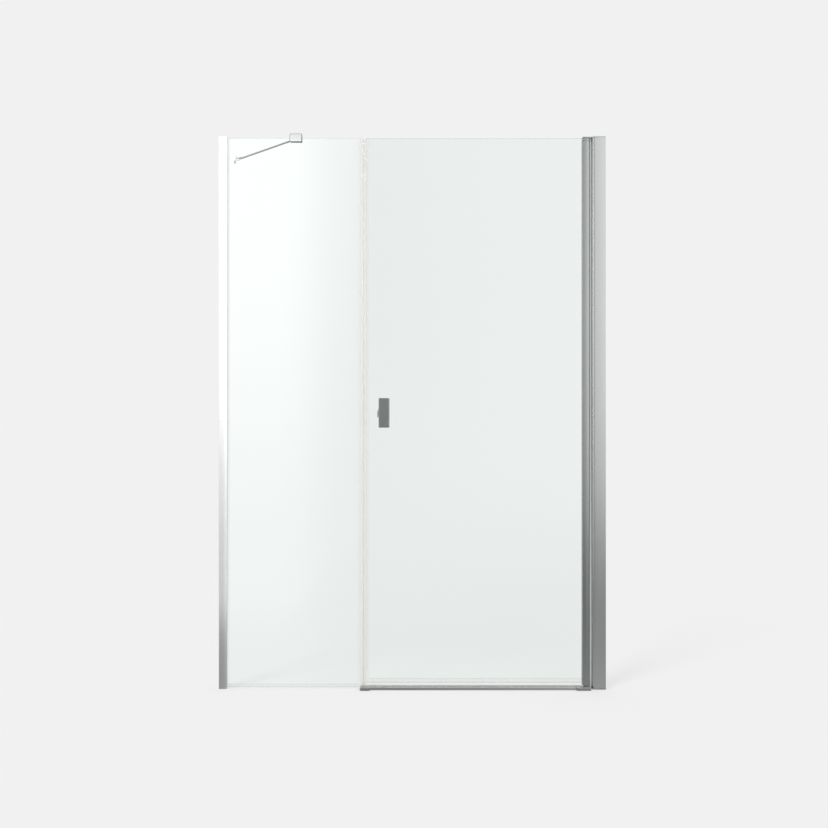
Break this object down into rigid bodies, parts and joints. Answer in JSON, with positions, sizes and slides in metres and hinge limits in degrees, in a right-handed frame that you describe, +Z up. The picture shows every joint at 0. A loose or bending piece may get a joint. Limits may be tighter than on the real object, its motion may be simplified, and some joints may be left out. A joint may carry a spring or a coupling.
{
  "type": "shower door with side panel",
  "caption": "Niche shower enclosure: clear pivoting glass door, fixed in-line glass panel, slim wall profiles, low threshold and a diagonal support bar.",
  "frame": {"origin": "on the shower tray under the threshold, in the plane of the glass, mid-way across the niche", "axes": "+X to the right along the front (hinge side), +Y back into the shower, +Z up"},
  "size_m": [1.4, 0.35, 2.023],
  "materials": {
    "anodised": "bright anodised",
    "chrome": "polished",
    "handle_metal": "satin",
    "glass": "clear toughened",
    "clear_seal": "clear soft vinyl",
    "magnet": "flexible magnetic strip",
    "rubber": "matt",
    "grey_plastic": "moulded",
    "white_plastic": "moulded",
    "steel": "stainless"
  },
  "bodies": {
    "frame": {"left_wall_channel": "anodised", "left_glazing_profile": "anodised", "right_hinge_post": "anodised", "right_wall_channel": "anodised", "threshold_bar": "anodised", "bar_clamp_body": "chrome", "side_panel_glass": "glass", "side_panel_bottom_seal": "clear_seal", "side_panel_closing_seal": "clear_seal", "side_panel_magnet_strip": "magnet", "left_gasket_front": "rubber", "left_gasket_rear": "rubber", "bar_clamp_liner": "rubber", "hinge_gap_seal": "rubber", "left_top_cap": "grey_plastic", "upper_pivot_bracket": "grey_plastic", "lower_pivot_bracket": "grey_plastic", "threshold_left_end": "grey_plastic", "threshold_right_end": "grey_plastic", "left_upper_setting_block": "white_plastic", "left_corner_setting_block": "white_plastic", "left_profile_screw_1": "steel", "left_profile_screw_2": "steel", "left_profile_screw_3": "steel", "right_post_screw_1": "steel", "right_post_screw_2": "steel", "right_post_screw_3": "steel", "pivot_bracket_screw_1": "steel", "pivot_bracket_screw_2": "steel", "bar_clamp_screw_1": "steel", "bar_clamp_screw_2": "steel", "bar_clamp_pin": "steel", "upper_pivot_pin": "steel", "lower_pivot_pin": "steel"},
    "door": {"door_glass": "glass", "door_turning_profile": "anodised", "door_gasket_front": "rubber", "door_gasket_rear": "rubber", "upper_hinge_cap": "grey_plastic", "lower_hinge_cap": "grey_plastic", "upper_pivot_bush": "white_plastic", "lower_pivot_bush": "white_plastic", "door_closing_seal": "clear_seal", "door_magnet_strip": "magnet", "door_sweep_seal": "clear_seal", "handle_outer": "handle_metal", "handle_inner": "handle_metal", "handle_lower_grommet": "clear_seal", "handle_upper_grommet": "clear_seal", "handle_lower_bolt": "steel", "handle_upper_bolt": "steel"},
    "support_bar": {"support_bar": "chrome", "support_bar_glass_eye": "chrome", "support_bar_wall_eye": "chrome"},
    "wall_bracket": {"wall_bracket_base": "chrome", "wall_bracket_cover": "chrome", "wall_bracket_pin": "steel"}
  },
  "joints": [
    {"name": "door_swing", "type": "hinge", "parent": "frame", "child": "door", "pos_m": [0.633, 0, 1], "axis": [0, 0, 1], "range_deg": [0, 110]},
    {"name": "bar_swivel", "type": "hinge", "parent": "frame", "child": "support_bar", "pos_m": [-0.4215, 0.021, 2.003], "axis": [0, 0, 1], "range_deg": [-100, 0]},
    {"name": "wall_bracket_swivel", "type": "hinge", "parent": "support_bar", "child": "wall_bracket", "pos_m": [-0.684, 0.296, 2.003], "axis": [0, 0, 1], "range_deg": [-100, 13]}
  ]
}
